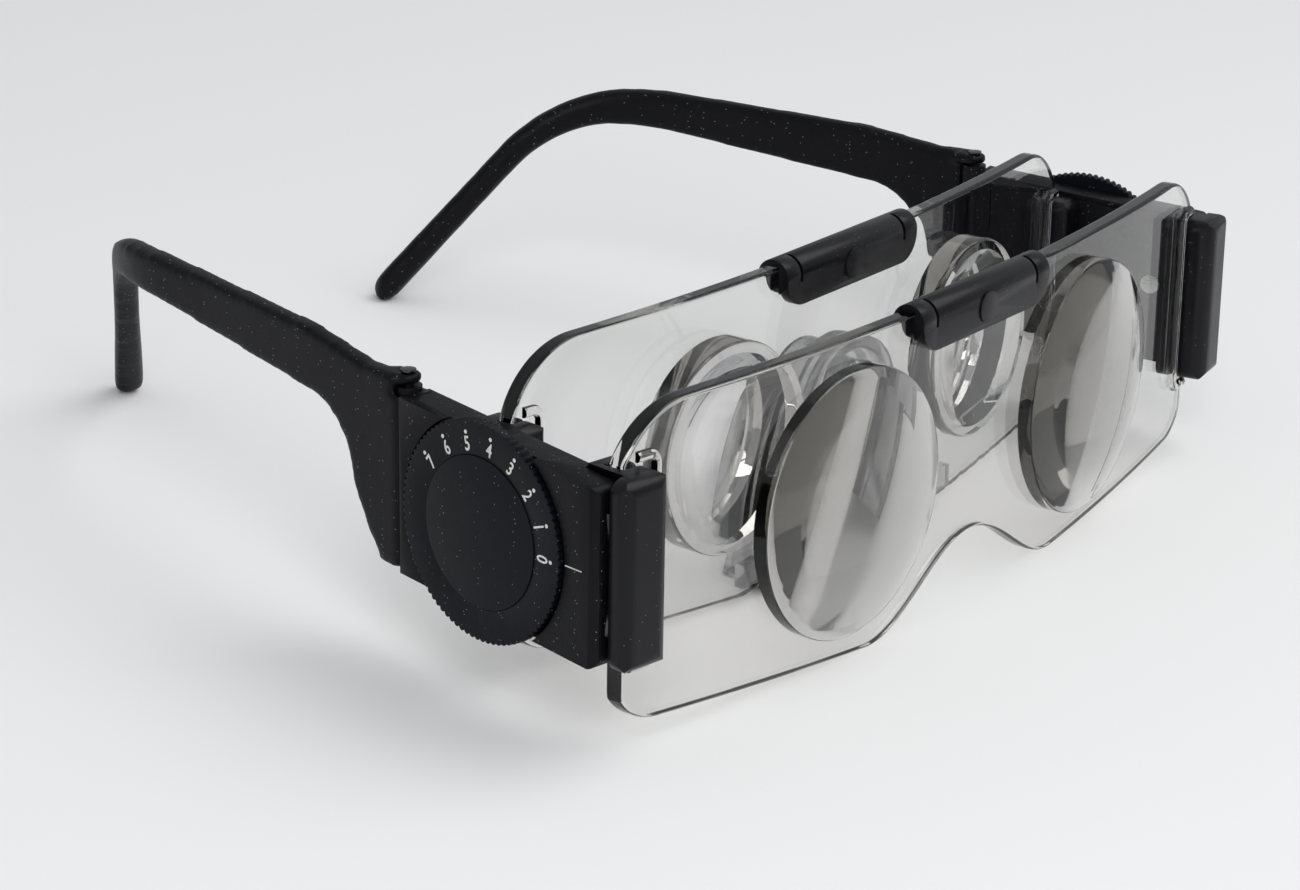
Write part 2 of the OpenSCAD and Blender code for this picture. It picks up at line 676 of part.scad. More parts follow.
// The clips' rounded ends, seen from the side and from the front
clip_top_z = clip_z + clip_h;
function clip_side(y0, y1, r) = concat([[y1, clip_z]], arc(y0 + r, clip_z + r, r, 270, 180, 8),
    arc(y0 + r, clip_top_z - r, r, 180, 90, 8), [[y1, clip_top_z]]);
function clip_face(x0, x1, r) = concat(arc(x0 + r, clip_z + r, r, 270, 180, 8),
    arc(x0 + r, clip_top_z - r, r, 180, 90, 8), arc(x1 - r, clip_top_z - r, r, 90, 0, 8),
    arc(x1 - r, clip_z + r, r, 0, -90, 8));
module front_clip() {
    head_y = clip_back_y - slider_head_t;
    color(black) difference() {
        intersection() {
            translate([0, 0, clip_z]) linear_extrude(clip_h) union() {
                rounded_plan(-front_clip_w, -clip_inset, clip_front_y, clip_back_y, clip_corner_r, clip_round);
                translate([-front_clip_w, clip_front_y + clip_round])
                    square([front_clip_w + web_outer_x, lip_y + lip_t - clip_front_y - clip_round]);
            }
            slab(-front_clip_w, 0, clip_side(clip_front_y, lip_y + lip_t, clip_corner_r));
            wall(clip_front_y, lip_y + lip_t, clip_face(-front_clip_w, -clip_inset, clip_corner_r));
        }
        block([slider_back_x - seat_gap, head_y - seat_gap, lower_arm_z - seat_gap],
            [slider_front_x + seat_gap, clip_back_y + 1, upper_arm_z + arm_h + seat_gap]);
    }
}
module front_clip_at(name) {
    difference() {
        stand() side(name) front_clip();
        stand() front_room();
        stand() front_room_slid(name);
    }
}
// The clips spread as they slide along the toed housings, so the plate's end needs a longer slot
module front_room_slid(name) {
    shift = (name == "left" ? -1 : 1) * travel * sin(toe);
    translate([shift, 0, 0]) front_room();
}
rear_round = 1.8;
module rear_clip() {
    color(black) {
        intersection() {
            translate([0, 0, clip_z]) linear_extrude(clip_h) difference() {
                rounded_plan(rear_web_x - rear_clip_w, rear_web_x, rear_clip_front_y,
                    rear_lip_y + 1.4, 0.5, rear_round);
                translate([rear_web_x - rear_clip_w - 1, rear_lip_y - 0.4])
                    square([2.6, 4]);
            }
            slab(rear_web_x - rear_clip_w, rear_web_x, clip_side(rear_clip_front_y, rear_lip_y + 2, rear_round));
            wall(rear_clip_front_y, rear_lip_y + 2,
                clip_face(rear_web_x - rear_clip_w, rear_web_x + 3, rear_round));
        }
        for (z = peg_heights) rod(rear_web_x - 0.5, cover_x - 0.1, peg_y, z, peg_r);
    }
}
module rear_clip_at(name) {
    difference() {
        stand() side(name) rear_clip();
        stand() rear_room();
    }
}

// Hinge pin with a low round head that shows on top of the temple's lug
pin_top_z = lug_top_z + lug_t;
module hinge_pin() {
    color(steel) translate([axis_x, axis_y, 0]) {
        translate([0, 0, lug_low_z + 0.1])
            cylinder(h = pin_top_z - lug_low_z, r = pin_r, $fn = fine);
        translate([0, 0, pin_top_z + 0.02]) cylinder(h = 0.25, r = pin_r + 0.3, $fn = fine);
    }
}

// Temple: a tall plate at the hinge, a slim arm, then a flat hook that bends down over the ear
// while it turns inwards round the head. Its outline from the side is cut out of its plan
function smooth(t) = let (u = max(0, min(t, 1))) u * u * (3 - 2 * u);
hook_s0 = wrap_from - bend_from;
hook_run = bend_l + hook_l;
function strip_h(s) = bar_h + (hook_h - bar_h) * smooth((s - hook_s0) / (hook_run - hook_s0) / 0.55);
function strip_t(y) = let (w = (y - wrap_from) / (hook_end_y - wrap_from))
    temple_t + (hook_t - temple_t) * smooth(w / 0.55) + (tip_t - hook_t) * smooth((w - 0.7) / 0.3);
function side_edge(way, n) = [for (i = [0:n]) let (s = hook_s0 + (hook_run - hook_s0) * i / n)
    [down_y(s) + way * strip_h(s) / 2 * sin(down_turn(s)), down_z(s) + way * strip_h(s) / 2 * cos(down_turn(s))]];
function plan_edge(way, n) = [for (i = [0:n]) let (y = wrap_from + (hook_end_y - wrap_from) * i / n)
    [way * strip_t(y) / 2 * cos(in_turn(y)) - in_x(y), y + way * strip_t(y) / 2 * sin(in_turn(y))]];
function reversed(points) = [for (i = [len(points) - 1:-1:0]) points[i]];
function bar_side() = concat(
    [[0, low_z(0) + 0.2], [3.8, low_z(0) + 0.8], [6.6, housing_z + 3.2]],
    arc(21, bar_mid_z - bar_h / 2 - 14.7, 10.5, 180, 90, 8),
    side_edge(-1, 20), arc(hook_end_y, tip_z, tip_r, -90 - hook_angle, 90 - hook_angle, 10),
    reversed(side_edge(1, 20)),
    [[21, bar_mid_z + 1.6], [8, pin_top_z], [3.2, pin_top_z], [3.2, top_z(0) + 0.2], [0, top_z(0)]]);
// In plan the strip ends in a half circle round the tip
function bar_plan() = let (r = tip_t / 2, y = hook_end_y + tip_r - r) concat(
    [[0, 0]], plan_edge(1, 16), arc(-in_x(y), y, r, wrap_angle, 180 + wrap_angle, 10),
    reversed(plan_edge(-1, 16)), [[-temple_t, 0]]);
module temple_frame() { translate([0, 0.3, 0]) rotate([0, 0, temple_toe]) children(); }
module bar() {
    intersection() {
        slab(-in_x(hook_end_y) - 2 * tip_r, 0, bar_side());
        linear_extrude(2 * plate_h) polygon(bar_plan());
    }
}
module lug(z) {
    translate([0, 0, z]) linear_extrude(lug_t) union() {
        translate([axis_x, axis_y]) circle(r = knuckle_r, $fn = fine);
        translate([0, 0.3]) rotate([0, 0, temple_toe])
            translate([axis_x - knuckle_r + 0.5, axis_y - 0.3]) square([knuckle_r + temple_t - 0.4, 3.6]);
    }
}
module temple() {
    color(black) difference() {
        union() {
            difference() {
                temple_frame() bar();
                translate([axis_x, axis_y, knuckle_low_z - slide_gap])
                    cylinder(h = knuckle_top_z - knuckle_low_z + 2 * slide_gap,
                        r = knuckle_r + 0.25, $fn = fine);
            }
            lug(lug_low_z);
            lug(lug_top_z);
        }
        translate([axis_x, axis_y, 0]) cylinder(h = pin_top_z + 1, r = pin_r + run_gap, $fn = fine);
    }
}
module temple_at(name) {
    difference() {
        stand() side(name) temple();
        ground();
    }
}

front_plate();
rear_plate();
front_bridge_cover();
rear_bridge_cover();
nose_saddle();
stand() side("right") housing();  // right_housing
stand() side("left") housing();  // left_housing
stand() side("right") inner_cover();  // right_inner_cover
stand() side("left") inner_cover();  // left_inner_cover
stand() side("right") cover_screws();  // right_cover_screws
stand() side("left") cover_screws();  // left_cover_screws
stand() side("right") dial();  // right_dial
stand() side("left") dial();  // left_dial
stand() side("right") dial_cap();  // right_dial_cap
stand() side("left") dial_cap();  // left_dial_cap
stand() side("right") dial_spring();  // right_dial_spring
stand() side("left") dial_spring();  // left_dial_spring
stand() side("right") pinion();  // right_pinion
stand() side("left") pinion();  // left_pinion
stand() side("right") pinion_screw();  // right_pinion_screw
stand() side("left") pinion_screw();  // left_pinion_screw
stand() side("right") slider();  // right_slider
stand() side("left") slider();  // left_slider
front_clip_at("right");  // right_front_clip
front_clip_at("left");  // left_front_clip
rear_clip_at("right");  // right_rear_clip
rear_clip_at("left");  // left_rear_clip
stand() side("right") hinge_pin();  // right_hinge_pin
stand() side("left") hinge_pin();  // left_hinge_pin
temple_at("right");  // right_temple
temple_at("left");  // left_temple
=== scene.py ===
"""Magnifying spectacles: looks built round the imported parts, laid out as an add-on."""
import json
import math

import bpy
from mathutils import Matrix, Vector


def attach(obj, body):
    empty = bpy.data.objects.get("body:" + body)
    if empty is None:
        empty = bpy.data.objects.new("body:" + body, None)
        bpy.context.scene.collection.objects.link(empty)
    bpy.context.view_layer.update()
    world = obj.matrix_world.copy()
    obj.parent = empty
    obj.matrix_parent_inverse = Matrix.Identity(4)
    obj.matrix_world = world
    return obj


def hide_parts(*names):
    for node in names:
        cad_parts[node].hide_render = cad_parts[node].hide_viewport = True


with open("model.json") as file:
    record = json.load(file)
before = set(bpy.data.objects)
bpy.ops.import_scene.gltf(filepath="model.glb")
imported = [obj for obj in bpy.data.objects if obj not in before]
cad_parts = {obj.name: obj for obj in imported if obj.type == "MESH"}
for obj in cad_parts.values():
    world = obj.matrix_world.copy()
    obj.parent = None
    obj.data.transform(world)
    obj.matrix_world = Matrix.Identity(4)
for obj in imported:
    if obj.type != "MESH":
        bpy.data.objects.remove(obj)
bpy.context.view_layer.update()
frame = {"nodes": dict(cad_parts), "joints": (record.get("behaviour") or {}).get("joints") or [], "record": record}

bl_info = {
    "name": "Magnifying spectacles",
    "version": (1, 0, 0),
    "blender": (4, 5, 0),
    "location": "View3D > Sidebar > Spectacles",
    "description": "Builds a spectacle magnifier's clear plates, dial marks, finishes and studio",
    "category": "Object",
}

MM = 0.001
SIDES = ("right", "left")
SIDE_SIGN = {"right": -1.0, "left": 1.0}
NODES = frame["nodes"]
JOINTS = {j["name"]: j for j in frame["joints"]}

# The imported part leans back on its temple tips, so its directions are read from its joints
FOCUS = Vector(JOINTS["focus"]["axis"])
UP = Vector((0.0, FOCUS.z, -FOCUS.y))
BACK = -FOCUS
LEAN = Matrix((Vector((1.0, 0.0, 0.0)), BACK, UP)).transposed().to_4x4()

# A dial's middle in its housing's own frame, and that frame's zero in the plates' frame, mm
DIAL_DEPTH = 1.0
DIAL_BACK = 16.6
DIAL_Z = 27.0
DIAL_PROUD = 0.5
SEAM_X = 75.6
SEAM_Y = 43.8345

# The plates' outline, mm, from the wavy notch over the nose to the top corner
NOTCH_HALF = 25.0
NOTCH_H = 10.4
LOW_R = 9.0
LOW_RISE = 3.4
TOP_R = 13.0
PLATE_H = 47.2

# The rear plate stands behind the front one, a little higher, and its notch is a taller arch, mm
PLATE_GAP = 22.7
REAR_RISE = 2.2
ARCH_R = 9.5
ARCH_Z = 24.0
ARCH_LEAN = 15.0
ARCH_FOOT = 20.0
ARCH_FOOT_Z = -5.0
ARCH_SEARCH = 0.02
ARCH_MARGIN = 0.2

# How finely the plates are faceted: counts, and lengths in mm
WAVE_STEPS = 24
CORNER_STEPS = 16
TOP_STEPS = 24
EDGE_STEPS = 8
SPIN_STEPS = 144
FACE_STEPS = 26
BOWL_STEPS = 24
BEND_STEP = 3.0
POINT_GAP = 0.05
TINY = 1e-6

# Lens centres, mm, and the front lens's dome, how far it stands out and its rounded rim
PUPIL_HALF = 32.0
FRONT_Z = 23.9
REAR_Z = 27.5
FRONT_DOME = 45.0
FRONT_PROUD = 1.75
FRONT_RIM_R = 0.3
FRONT_RIM_TURNS = (0.55, 0.85, 1.2, 1.57)
LENS_SINK = 0.1

# The rear lens is a ring round a dished hollow, mm
RING_PROUD = 3.9
RING_RIM_R = 0.5
RING_RIM_TURNS = (0.0, 0.2, 0.4, 0.6, 0.8, 1.0, 1.2, 1.4, 1.57)
HOLLOW_R = 13.4
DISH_R = 20.0
HOLLOW_LEAD = 8.0
HOLLOW_LIP = 0.25
HOLLOW_STEP = ((HOLLOW_LIP, -0.01), (0.08, 0.1))

# The clear rim beside a clip, mm: its legs' heights, then each plate's bar and the ends of its two legs
RIM_LOW = 12.2
RIM_HIGH = 40.9
RIM_CORNER = 1.5
RIM_CORNER_STEPS = 6
RIM_R = 0.76
RIM_SINK = 0.15
FRONT_RIM = (70.33, 74.9, 73.9)
REAR_RIM = (66.22, 70.34, 69.2)

# A temple lies a little behind its seam and toes in, and its hook wraps round the head, mm and degrees
TEMPLE_BACK = 0.3
TEMPLE_TOE = 3.0
WRAP_FROM = 57.0
WRAP_RUN = 17.7125
WRAP_ANGLE = 33.0
SWELL_LEAD = 12.0
SWELL_RUN = 26.0
SWELL = 1.0
VOXEL = 0.42
SOFTEN_TIMES = 24
ROUND_TIMES = 26

# Printed marks, mm and degrees
MARK_COUNT = 8
MARK_AHEAD = 1.0
MARK_LIFT = 0.01
PRINT_T = 0.02
DOT_R = 0.28
DOT_SIDES = 20
DOT_TOP = 0.9
NUMBER_SCALE = 1.38
NUMBER_NARROW = 0.78
NUMBER_BOLD = 0.035
POINTER_SIZE = (0.04, 3.1, 0.16)
POINTER_AT = (0.0, -33.95, 26.9)
POINTER_ROUND = 0.01

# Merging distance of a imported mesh's loose triangles, m, and the rounding of its edges, mm
WELD = 2e-6
EDGE_SOFT = 0.15
SOFT = {"bridge_cover": 0.3, "dial": 0.05, "dial_cap": 0.06, "inner_cover": 0.1, "nose_saddle": 0.4,
        "slider": 0.05}
DARK_METAL = ("hinge_pin", "slider")
REPLACED = ("front_plate", "rear_plate", "right_temple", "left_temple")

# The studio: metres, watts and colours
FLOOR_SIZE = 6.0
SKY = (0.95, 0.97, 1.0, 1.0)
SKY_STRENGTH = 0.46
LAMPS = (
    ("key", (0.42, -0.46, 1.0), 0.9, 5.7, (1.0, 0.99, 0.97)),
    ("front", (-0.59, -0.55, 0.62), 0.5, 3.6, (1.0, 1.0, 1.0)))

# The photograph's camera in the plates' frame: degrees, mm, and a focal length in photograph pixels
CAMERA_AZIMUTH = -54.139
CAMERA_ELEVATION = 19.530
CAMERA_ROLL = 0.888
CAMERA_AT = (-425.04, -249.97, 196.74)
FOCAL_PIXELS = 3631.3
PHOTO_WIDTH = 1300
SENSOR = 36.0


def side_axes(side):
    """Outward, backward and upward directions of one side's housing."""
    outward = Vector(JOINTS[side + "_dial_turn"]["axis"]) * SIDE_SIGN[side]
    backward = -Vector(JOINTS[side + "_carriage_slide"]["axis"])
    return outward.normalized(), backward.normalized(), UP.normalized()


def side_matrix(side):
    """From a housing's own millimetres to the part's frame; the right housing is the left one's mirror."""
    outward, backward, up = side_axes(side)
    centre = Vector(JOINTS[side + "_dial_turn"]["pos_m"])
    matrix = Matrix((outward, backward, up)).transposed().to_4x4()
    matrix.translation = centre + (outward * DIAL_DEPTH + backward * DIAL_BACK - up * DIAL_Z) * MM
    return matrix @ Matrix.Scale(MM, 4)


def plate_matrix():
    """From the plates' own millimetres to the part's frame."""
    seam = side_matrix("left") @ Vector((0, 0, 0))
    matrix = LEAN.copy()
    matrix.translation = seam - (Vector((1, 0, 0)) * SEAM_X + BACK * SEAM_Y) * MM
    return matrix @ Matrix.Scale(MM, 4)


PLATE = plate_matrix()


class SpecPlates(bpy.types.PropertyGroup):
    """Sizes of the two clear plates."""
    thickness: bpy.props.FloatProperty(
        name="Thickness", description="Thickness of the clear sheet, mm", default=2.6, min=1.5, max=4.0)
    bow_radius: bpy.props.FloatProperty(
        name="Bow", description="Radius that the plates are bowed to, mm",
        default=447.0, min=200.0, max=900.0)
    front_half: bpy.props.FloatProperty(
        name="Front half width", description="Half the width of the front plate, mm",
        default=77.3, min=70.0, max=80.0)
    rear_half: bpy.props.FloatProperty(
        name="Rear half width", description="Half the width of the rear plate, mm",
        default=71.34, min=60.0, max=75.0)
    front_cut: bpy.props.FloatProperty(
        name="Front end", description="Where the front plate is cut off square in its clips, mm",
        default=75.9, min=70.0, max=77.3)
    edge_round: bpy.props.FloatProperty(
        name="Edge rounding", description="Radius of the plates' polished edges, mm",
        default=0.6, min=0.1, max=1.0)
    front_lens: bpy.props.FloatProperty(
        name="Front lens", description="Radius of a front lens, mm", default=19.4, min=15.0, max=21.0)
    back_dome: bpy.props.FloatProperty(
        name="Front lens back", description="Radius of a front lens's flat back curve, mm",
        default=300.0, min=60.0, max=900.0)
    rear_lens: bpy.props.FloatProperty(
        name="Rear lens ring", description="Outer radius of a rear lens's ring, mm",
        default=15.3, min=12.0, max=17.0)


class SpecColours(bpy.types.PropertyGroup):
    """Colours of the finishes."""
    housing: bpy.props.FloatVectorProperty(
        name="Housing", description="Grained black plastic", subtype="COLOR",
        default=(0.0026, 0.0026, 0.0042))
    gloss: bpy.props.FloatVectorProperty(
        name="Clips", description="Smooth black plastic of the clips and covers", subtype="COLOR",
        default=(0.0026, 0.0026, 0.0042))
    dial: bpy.props.FloatVectorProperty(
        name="Dial", description="Satin black of the dials", subtype="COLOR",
        default=(0.0026, 0.0030, 0.0062))
    clear: bpy.props.FloatVectorProperty(
        name="Clear plate", description="Colour that the clear plates keep", subtype="COLOR",
        default=(0.70, 0.695, 0.68))
    clear_density: bpy.props.FloatProperty(
        name="Clear plate density", description="How fast the clear plates darken, per metre",
        default=150.0, min=0.0, max=400.0)
    saddle: bpy.props.FloatVectorProperty(
        name="Saddle", description="Soft nose saddle", subtype="COLOR", default=(0.62, 0.62, 0.63))
    bright_metal: bpy.props.FloatVectorProperty(
        name="Bright metal", description="Screws, springs and pinions", subtype="COLOR",
        default=(0.62, 0.62, 0.61))
    dark_metal: bpy.props.FloatVectorProperty(
        name="Dark metal", description="Hinge pins and sliders", subtype="COLOR", default=(0.09, 0.09, 0.10))
    mark: bpy.props.FloatVectorProperty(
        name="Marks", description="Printed numbers, dots and pointer", subtype="COLOR",
        default=(0.72, 0.72, 0.70))
    floor: bpy.props.FloatVectorProperty(
        name="Floor", description="Floor and backdrop", subtype="COLOR", default=(0.885, 0.885, 0.888))


class SpecMarks(bpy.types.PropertyGroup):
    """The marks on the dials."""
    dot_radius: bpy.props.FloatProperty(
        name="Dot circle", description="Radius of the circle of dots, mm", default=13.6, min=12.0, max=14.5)
    text_radius: bpy.props.FloatProperty(
        name="Number circle", description="Radius of the numbers' middle, mm",
        default=11.95, min=10.5, max=13.0)
    text_height: bpy.props.FloatProperty(
        name="Number height", description="Height of a number, mm", default=2.0, min=1.0, max=3.0)
    step: bpy.props.FloatProperty(
        name="Step", description="Turn from one number to the next, degrees",
        default=20.5, min=15.0, max=25.0)


# Material helpers

def new_material(name):
    """A node material with its shader, and the object coordinates that its patterns read."""
    mat = bpy.data.materials.new(name)
    mat.use_nodes = True
    tree = mat.node_tree
    coord = tree.nodes.new("ShaderNodeTexCoord")
    return mat, tree, tree.nodes["Principled BSDF"], coord.outputs["Object"]


def noise(tree, vector, scale, detail=3.0, rough=0.5):
    node = tree.nodes.new("ShaderNodeTexNoise")
    node.inputs["Scale"].default_value = scale
    node.inputs["Detail"].default_value = detail
    node.inputs["Roughness"].default_value = rough
    tree.links.new(vector, node.inputs["Vector"])
    return node.outputs["Fac"]


def ramp(tree, value, low, high):
    """Blends from one (position, colour) stop to another."""
    node = tree.nodes.new("ShaderNodeValToRGB")
    for element, (position, colour) in zip(node.color_ramp.elements, (low, high)):
        element.position = position
        element.color = (*colour, 1.0)
    tree.links.new(value, node.inputs["Fac"])
    return node.outputs["Color"]


def map_range(tree, value, low, high, from_low=0.0, from_high=1.0):
    node = tree.nodes.new("ShaderNodeMapRange")
    node.inputs["From Min"].default_value = from_low
    node.inputs["From Max"].default_value = from_high
    node.inputs["To Min"].default_value = low
    node.inputs["To Max"].default_value = high
    tree.links.new(value, node.inputs["Value"])
    return node.outputs["Result"]


def calculate(tree, operation, value, other):
    """A maths node on two values, of which the second may be a plain number."""
    node = tree.nodes.new("ShaderNodeMath")
    node.operation = operation
    tree.links.new(value, node.inputs[0])
    if isinstance(other, float):
        node.inputs[1].default_value = other
    else:
        tree.links.new(other, node.inputs[1])
    return node.outputs[0]


def bump(tree, shader, height, distance):
    node = tree.nodes.new("ShaderNodeBump")
    node.inputs["Distance"].default_value = distance
    node.inputs["Strength"].default_value = 1.0
    tree.links.new(height, node.inputs["Height"])
    tree.links.new(node.outputs["Normal"], shader.inputs["Normal"])


def specks(tree, vector, tint, size):
    """Fine pale specks, in about one cell out of four, over a black plastic's tint."""
    cells_per_metre = 1700.0
    bare_share = 0.72
    cell = tree.nodes.new("ShaderNodeTexVoronoi")
    cell.inputs["Scale"].default_value = cells_per_metre
    tree.links.new(vector, cell.inputs["Vector"])
    parts = tree.nodes.new("ShaderNodeSeparateColor")
    tree.links.new(cell.outputs["Color"], parts.inputs["Color"])
    near = calculate(tree, "LESS_THAN", cell.outputs["Distance"], size)
    some = calculate(tree, "GREATER_THAN", parts.outputs["Red"], bare_share)
    dot = calculate(tree, "MULTIPLY", near, some)
    mix = tree.nodes.new("ShaderNodeMix")
    mix.data_type = "RGBA"
    tree.links.new(dot, mix.inputs["Factor"])
    tree.links.new(tint, mix.inputs["A"])
    mix.inputs["B"].default_value = (0.17, 0.18, 0.23, 1.0)
    return mix.outputs["Result"]


def black_plastic(name, colour, rough, grain, depth, speck, level, coat=0.0):
    """Moulded black plastic: a fine grain, pale specks and an uneven sheen."""
    mat, tree, shader, vec = new_material(name)
    base = Vector(colour)
    tint = ramp(tree, noise(tree, vec, 90.0), (0.3, base * 0.8), (0.7, base * 1.3))
    tree.links.new(specks(tree, vec, tint, speck), shader.inputs["Base Color"])
    wear = noise(tree, vec, 260.0, detail=4.0)
    tree.links.new(map_range(tree, wear, rough * 0.85, rough * 1.15), shader.inputs["Roughness"])
    bump(tree, shader, noise(tree, vec, grain, detail=2.0, rough=0.6), depth)
    shader.inputs["Specular IOR Level"].default_value = level
    shader.inputs["Coat Weight"].default_value = coat
    shader.inputs["Coat Roughness"].default_value = 0.1
    return mat


def clear_acrylic(name, colour, density):
    """Polished acrylic that greys what is seen through a long way of it, and lets light fall through."""
    mat, tree, shader, vec = new_material(name)
    haze = noise(tree, vec, 35.0, detail=2.0)
    full = Vector((1.0, 1.0, 1.0))
    tree.links.new(ramp(tree, haze, (0.3, full * 0.985), (0.7, full)), shader.inputs["Base Color"])
    shader.inputs["Transmission Weight"].default_value = 1.0
    shader.inputs["IOR"].default_value = 1.491
    sheen = map_range(tree, haze, 0.0, 0.012, from_low=0.5, from_high=0.85)
    tree.links.new(sheen, shader.inputs["Roughness"])
    tint = tree.nodes.new("ShaderNodeVolumeAbsorption")
    tint.inputs["Color"].default_value = (*colour, 1.0)
    tint.inputs["Density"].default_value = density
    out = tree.nodes["Material Output"]
    tree.links.new(tint.outputs["Volume"], out.inputs["Volume"])
    light = tree.nodes.new("ShaderNodeLightPath")
    through = tree.nodes.new("ShaderNodeBsdfTransparent")
    through.inputs["Color"].default_value = (0.95, 0.95, 0.95, 1.0)
    mix = tree.nodes.new("ShaderNodeMixShader")
    tree.links.new(light.outputs["Is Shadow Ray"], mix.inputs["Fac"])
    tree.links.new(shader.outputs["BSDF"], mix.inputs[1])
    tree.links.new(through.outputs["BSDF"], mix.inputs[2])
    tree.links.new(mix.outputs["Shader"], out.inputs["Surface"])
    return mat


def soft_saddle(name, colour):
    """Soft smoky vinyl, a little see-through."""
    mat, tree, shader, vec = new_material(name)
    base = Vector(colour)
    cloud = noise(tree, vec, 140.0, detail=4.0)
    tree.links.new(ramp(tree, cloud, (0.3, base * 0.85), (0.75, base * 1.2)), shader.inputs["Base Color"])
    tree.links.new(map_range(tree, cloud, 0.12, 0.2), shader.inputs["Roughness"])
    shader.inputs["Transmission Weight"].default_value = 0.93
    shader.inputs["IOR"].default_value = 1.42
    bump(tree, shader, noise(tree, vec, 2200.0, detail=2.0), 0.00002)
    return mat


def metal(name, colour):
    """Plain metal with fine drawn lines."""
    mat, tree, shader, vec = new_material(name)
    stretch = tree.nodes.new("ShaderNodeMapping")
    stretch.inputs["Scale"].default_value = (1.0, 1.0, 14.0)
    tree.links.new(vec, stretch.inputs["Vector"])
    fine = noise(tree, stretch.outputs["Vector"], 900.0)
    base = Vector(colour)
    tree.links.new(ramp(tree, fine, (0.3, base * 0.8), (0.7, base)), shader.inputs["Base Color"])
    shader.inputs["Metallic"].default_value = 1.0
    tree.links.new(map_range(tree, fine, 0.2, 0.38), shader.inputs["Roughness"])
    bump(tree, shader, fine, 0.00001)
    return mat


def print_white(name, colour):
    """The slightly worn print of the marks."""
    mat, tree, shader, vec = new_material(name)
    base = Vector(colour)
    worn = noise(tree, vec, 2600.0, detail=2.0)
    tree.links.new(ramp(tree, worn, (0.3, base * 0.75), (0.55, base)), shader.inputs["Base Color"])
    shader.inputs["Roughness"].default_value = 0.5
    return mat


def floor_paper(name, colour):
    """Plain pale paper."""
    mat, tree, shader, vec = new_material(name)
    base = Vector(colour)
    tree.links.new(ramp(tree, noise(tree, vec, 3.0, detail=2.0), (0.3, base * 0.985), (0.7, base)),
                   shader.inputs["Base Color"])
    shader.inputs["Roughness"].default_value = 0.9
    return mat


def give_material(obj, mat):
    obj.data.materials.clear()
    obj.data.materials.append(mat)


def dress(obj, mat, soft):
    """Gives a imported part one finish, smooth shading and small rounded edges."""
    give_material(obj, mat)
    for face in obj.data.polygons:
        face.use_smooth = True
    weld = obj.modifiers.new("weld", "WELD")
    weld.merge_threshold = WELD
    bevel = obj.modifiers.new("round", "BEVEL")
    bevel.width = soft * MM
    bevel.segments = 3
    bevel.limit_method = "ANGLE"
    bevel.angle_limit = math.radians(30.0)
    bevel.harden_normals = True


# Modelling helpers: every new piece is shaped in millimetres and then put in its place

def link(obj):
    bpy.context.scene.collection.objects.link(obj)
    return obj


def select_only(obj):
    bpy.ops.object.select_all(action="DESELECT")
    obj.select_set(True)
    bpy.context.view_layer.objects.active = obj


def edit(obj):
    """Enters edit mode with the whole mesh selected."""
    select_only(obj)
    bpy.ops.object.mode_set(mode="EDIT")
    bpy.ops.mesh.select_mode(type="VERT")
    bpy.ops.mesh.select_all(action="SELECT")


def leave_edit():
    bpy.ops.object.mode_set(mode="OBJECT")


def pick_edges(obj, test):
    """Enters edit mode with only the edges selected whose two ends pass the test."""
    select_only(obj)
    bpy.ops.object.mode_set(mode="EDIT")
    bpy.ops.mesh.select_mode(type="EDGE")
    bpy.ops.mesh.select_all(action="DESELECT")
    leave_edit()
    points = obj.data.vertices
    for edge in obj.data.edges:
        edge.select = test(points[edge.vertices[0]].co, points[edge.vertices[1]].co)
    bpy.ops.object.mode_set(mode="EDIT")


def face_out():
    """Turns every face of the mesh in edit mode outwards."""
    bpy.ops.mesh.select_all(action="SELECT")
    bpy.ops.mesh.normals_make_consistent(inside=False)


def loop_of(points, name, fill="NGON"):
    """A primitive circle whose points are moved to an outline."""
    bpy.ops.mesh.primitive_circle_add(vertices=len(points), radius=1.0, fill_type=fill)
    obj = bpy.context.object
    obj.name = name
    for vertex, point in zip(obj.data.vertices, points):
        vertex.co = point
    return obj


def place(obj, matrix):
    """Puts a piece's place into its mesh, and turns its faces round where the place is a mirror."""
    obj.data.transform(matrix)
    if matrix.determinant() < 0:
        obj.data.flip_normals()
    return obj


def apply(obj, modifier):
    select_only(obj)
    bpy.ops.object.modifier_apply(modifier=modifier.name)


def boolean(obj, other, operation):
    """Joins or cuts with another solid, which is used up."""
    cut = obj.modifiers.new("cut", "BOOLEAN")
    cut.operation = operation
    cut.solver = "EXACT"
    cut.object = other
    apply(obj, cut)
    bpy.data.objects.remove(other)


def turned(profile, name, matrix):
    """A closed solid spun about Y from points of (radius, y) that start and end on the axis."""
    obj = loop_of([(r, y, 0.0) for r, y in profile], name, fill="NOTHING")
    pick_edges(obj, lambda a, b: a.x < TINY and b.x < TINY)
    bpy.ops.mesh.delete(type="EDGE")
    bpy.ops.mesh.select_all(action="SELECT")
    bpy.ops.mesh.spin(steps=SPIN_STEPS, angle=2 * math.pi, center=(0, 0, 0), axis=(0, 1, 0))
    bpy.ops.mesh.select_all(action="SELECT")
    bpy.ops.mesh.remove_doubles(threshold=1e-4)
    face_out()
    leave_edit()
    return place(obj, matrix)


def arc(centre_x, centre_z, radius, start, end, steps):
    """Points along an arc between two angles in degrees."""
    angles = [math.radians(start + (end - start) * i / steps) for i in range(steps + 1)]
    return [(centre_x + radius * math.cos(a), centre_z + radius * math.sin(a)) for a in angles]


def sagitta(x, radius):
    """How far a circle has curved away from its top at a distance from the middle."""
    return radius - math.sqrt(radius * radius - x * x)


